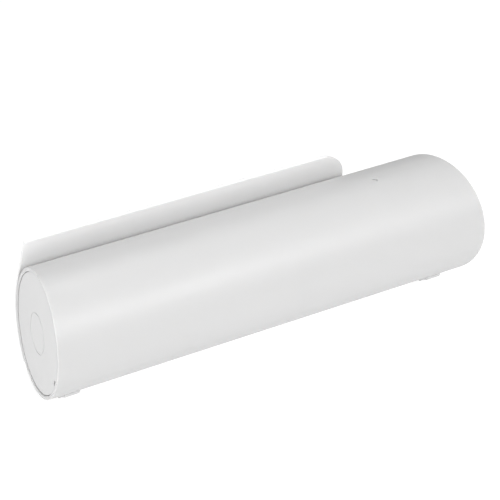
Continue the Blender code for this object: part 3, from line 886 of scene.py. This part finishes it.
class CASE_OT_blanket(bpy.types.Operator):
    """One sheet of glass cloth, folded to and fro lengthways and then across"""
    bl_idname = "fire_blanket.blanket"
    bl_label = "Folded blanket"

    def execute(self, context):
        chosen = settings()
        half_run = PANEL_LENGTH / 2
        panels = [(i - (PANELS - 1) / 2) * PANEL_PITCH for i in range(PANELS)]
        spread = PANEL_PITCH * (PANELS - 1) / 2 + chosen.cloth_thickness / 2
        along = serpentine(panels, [-half_run] * PANELS, [half_run] * PANELS, 22, 4)
        pitch = 2 * (PACK_HALF - spread) / (BUNDLES - 1)
        levels = [(i - (BUNDLES - 1) / 2) * pitch for i in range(BUNDLES)]
        room = PACK_HALF - pitch / 2 - spread
        turns = [math.sqrt(max(0.0, room ** 2 - (level + pitch / 2) ** 2))
                 for level in levels[:-1]]
        lows, highs = [], []
        for index in range(BUNDLES):
            before = turns[index - 1] if index else 0.0
            after = turns[index] if index < BUNDLES - 1 else 0.0
            high, low = (after, before) if index % 2 == 0 else (before, after)
            lows.append(PACK_BACK - low)
            highs.append(PACK_FRONT + high)
        section = serpentine(levels, lows, highs, 8, 6)
        flat_u = flat_distances(along)
        flat_v = flat_distances(section)
        mesh = bmesh.new()
        layer = mesh.loops.layers.uv.new("UVMap")
        bmesh.ops.create_grid(mesh, x_segments=len(along) - 1, y_segments=len(section) - 1,
                              size=0.5)
        places = {}
        out = Vector((0, -math.cos(PACK_ANGLE), math.sin(PACK_ANGLE)))
        side = Vector((0, -out.z, out.y))
        for vertex in mesh.verts:
            column = round((vertex.co.x + 0.5) * (len(along) - 1))
            row = round((vertex.co.y + 0.5) * (len(section) - 1))
            places[vertex.index] = (flat_u[column], flat_v[row])
            x, offset = along[column][:2]
            depth, level, normal_a, normal_b = section[row]
            depth += normal_a * offset
            level += normal_b * offset
            # Slight waves, so that no fold lies dead straight
            level += 0.00035 * math.sin(31.0 * x + 40.0 * depth + 1.2)
            depth += 0.0003 * math.sin(47.0 * x + 90.0 * level)
            x += 0.0009 * math.sin(180.0 * level + 60.0 * depth)
            vertex.co = Vector((x, AXIS_Y, AXIS_Z)) + out * depth + side * level
        for face in mesh.faces:
            for corner in face.loops:
                corner[layer].uv = places[corner.vert.index]
        blanket = as_object("blanket", mesh)
        step = blanket.modifiers.new("thickness", "SOLIDIFY")
        step.thickness = chosen.cloth_thickness
        step.offset = 0.0
        bake(blanket)
        complete(blanket, "folded_blanket", looks()["glass_cloth"], "blanket",
                 ["blanket_pack"], False)
        return {"FINISHED"}


def flat_distances(path):
    """Distance of each point along its strip, in metres."""
    total, distances = 0.0, [0.0]
    for before, after in zip(path, path[1:]):
        total += math.hypot(after[0] - before[0], after[1] - before[1])
        distances.append(total)
    return distances


class CASE_OT_tabs(bpy.types.Operator):
    """Webbing pull tabs round the blanket's leading side, and their stitching"""
    bl_idname = "fire_blanket.tabs"
    bl_label = "Pull tabs"

    def execute(self, context):
        found = looks()
        out = Vector((0, -math.cos(PACK_ANGLE), math.sin(PACK_ANGLE)))
        centre = Vector((0, AXIS_Y, AXIS_Z)) + out * PACK_FRONT
        inner = PACK_HALF + CLEARANCE
        middle = inner + TAB_THICKNESS / 2
        first = math.degrees(PACK_ANGLE) - TAB_SPAN
        for side, sign in SIDES:
            x = sign * TAB_X
            mesh = bmesh.new()
            layer = mesh.loops.layers.uv.new("UVMap")
            angle = math.radians(first)
            start = centre + Vector((0, -math.cos(angle), math.sin(angle))) * middle
            ends = [mesh.verts.new((x + part * TAB_WIDTH / 2, start.y, start.z))
                    for part in (-1, 1)]
            edge = mesh.edges.new(ends)
            bmesh.ops.subdivide_edges(mesh, edges=[edge], cuts=9)
            bmesh.ops.spin(mesh, geom=mesh.verts[:] + mesh.edges[:], cent=centre,
                           axis=(-1, 0, 0), angle=math.radians(2 * TAB_SPAN), steps=48)
            bmesh.ops.remove_doubles(mesh, verts=mesh.verts, dist=1e-6)
            for face in mesh.faces:
                for corner in face.loops:
                    spot = corner.vert.co - centre
                    turned = math.atan2(spot.z, -spot.y) % (2 * math.pi)
                    corner[layer].uv = (spot.x - x + TAB_WIDTH / 2, turned * middle)
            strap = as_object("strap", mesh)
            step = strap.modifiers.new("thickness", "SOLIDIFY")
            step.thickness = TAB_THICKNESS * 0.9
            step.offset = 0.0
            bake(strap)
            soften(strap, 0.0003, 2, 50.0)
            complete(strap, "strap_" + side, found["strap_webbing"], "blanket",
                     ["pull_tab_" + side])
            stitches = stitching(x, centre, inner + TAB_THICKNESS * 0.95, first)
            complete(stitches, "stitching_" + side, found["white_thread"], "blanket",
                     weighted=False)
        return {"FINISHED"}


def stitching(x, centre, radius, first):
    """A box of stitches with a cross in it, at each end of a pull tab."""
    mesh = bmesh.new()
    width, length, margin = 0.0170, 38.0, 5.0
    pitch = 0.0021
    stitch = (0.00075, 0.00024, 0.00024, 1)
    for base in (first + margin, first + 2 * TAB_SPAN - margin - length):
        corners = [(-width / 2, base), (width / 2, base), (width / 2, base + length),
                   (-width / 2, base + length)]
        lines = list(zip(corners, corners[1:] + corners[:1]))
        lines += [(corners[0], corners[2]), (corners[1], corners[3])]
        for start, end in lines:
            across = end[0] - start[0]
            arc = math.radians(end[1] - start[1]) * radius
            count = max(2, round(math.hypot(across, arc) / pitch))
            for number in range(count):
                share = (number + 0.5) / count
                angle = math.radians(start[1] + (end[1] - start[1]) * share)
                outward = Vector((0, -math.cos(angle), math.sin(angle)))
                onward = Vector((0, math.sin(angle), math.cos(angle)))
                line = (Vector((1, 0, 0)) * across + onward * arc).normalized()
                spot = centre + outward * radius
                spot.x = x + start[0] + across * share
                turn = Vector((1, 0, 0)).rotation_difference(line).to_matrix().to_4x4()
                size = Matrix.Diagonal(stitch)
                bmesh.ops.create_icosphere(mesh, subdivisions=2, radius=1.0,
                                           matrix=Matrix.Translation(spot) @ turn @ size)
    return as_object("stitching", mesh)


# Stage

FLOOR_COLOR = (0.25, 0.25, 0.25)
FLOOR_HALF = 6.0
FLOOR_DROP = 0.0002
CAMERA_AIM = (0.00256, AXIS_Y, AXIS_Z + 0.01352)
CAMERA_BACK = (-0.5131, -0.7394, 0.4360)
CAMERA_DISTANCE = 1.5754
# Name, place, size and power
STUDIO_LIGHTS = (
    ("key", (0.50, -0.96, 0.62), (0.45, 0.26), 4.7),
    ("front", (-0.20, -1.15, 0.72), (0.80, 0.40), 8.0),
    ("left", (-1.20, -0.25, 0.35), (0.60, 0.60), 7.5),
    ("top", (0.00, 0.20, 1.35), (1.00, 0.50), 9.4),
)


def area_light(name, place, target, size, power):
    """A soft light that faces a point."""
    data = bpy.data.lights.new(name, "AREA")
    data.shape = "RECTANGLE"
    data.size, data.size_y = size
    data.energy = power
    lamp = bpy.data.objects.new(name, data)
    bpy.context.scene.collection.objects.link(lamp)
    lamp.location = place
    lamp.rotation_euler = (Vector(target) - Vector(place)).to_track_quat("-Z", "Y").to_euler()


class CASE_OT_stage(bpy.types.Operator):
    """Pale floor, soft lights and the camera"""
    bl_idname = "fire_blanket.stage"
    bl_label = "Stage"

    def execute(self, context):
        chosen = settings()
        mesh = bmesh.new()
        bmesh.ops.create_grid(mesh, x_segments=24, y_segments=24, size=FLOOR_HALF)
        bmesh.ops.translate(mesh, verts=mesh.verts, vec=(0, 0, -FLOOR_DROP))
        floor = as_object("floor", mesh)
        floor.data.materials.append(studio_floor("pale_floor", FLOOR_COLOR, chosen.floor_glow))
        world = bpy.data.worlds.new("studio")
        world.use_nodes = True
        background = world.node_tree.nodes["Background"]
        background.inputs["Color"].default_value = (1, 1, 1, 1)
        background.inputs["Strength"].default_value = chosen.room_light
        context.scene.world = world
        middle = (0, AXIS_Y, AXIS_Z)
        for name, place, size, power in STUDIO_LIGHTS:
            area_light(name, place, middle, size, power * chosen.light_power)
        context.scene.view_settings.view_transform = "Standard"
        lens = bpy.data.cameras.new("camera")
        lens.lens = chosen.camera_lens
        lens.sensor_width = 36.0
        camera = bpy.data.objects.new("camera", lens)
        context.scene.collection.objects.link(camera)
        back = Vector(CAMERA_BACK)
        camera.location = Vector(CAMERA_AIM) + back * CAMERA_DISTANCE
        camera.rotation_euler = back.to_track_quat("Z", "Y").to_euler()
        context.scene.camera = camera
        return {"FINISHED"}


OPERATORS = (CASE_OT_tube, CASE_OT_door, CASE_OT_plugs, CASE_OT_feet, CASE_OT_hinges,
             CASE_OT_screws, CASE_OT_catches, CASE_OT_blanket, CASE_OT_tabs, CASE_OT_stage)


class CASE_PT_panel(bpy.types.Panel):
    """Lists the settings and the pieces"""
    bl_idname = "CASE_PT_panel"
    bl_label = "Fire Blanket Case"
    bl_space_type = "VIEW_3D"
    bl_region_type = "UI"
    bl_category = "Fire Blanket"

    def draw(self, context):
        chosen = context.scene.fire_blanket_case
        for name in FireBlanketSettings.__annotations__:
            self.layout.prop(chosen, name)
        for kind in OPERATORS:
            self.layout.operator(kind.bl_idname)


CLASSES = (FireBlanketSettings, *OPERATORS, CASE_PT_panel)


def register():
    for kind in CLASSES:
        bpy.utils.register_class(kind)
    bpy.types.Scene.fire_blanket_case = bpy.props.PointerProperty(type=FireBlanketSettings)


def unregister():
    del bpy.types.Scene.fire_blanket_case
    for kind in reversed(CLASSES):
        bpy.utils.unregister_class(kind)


def main():
    register()
    for kind in OPERATORS:
        group, name = kind.bl_idname.split(".")
        getattr(getattr(bpy.ops, group), name)()


if __name__ == "__main__":
    main()
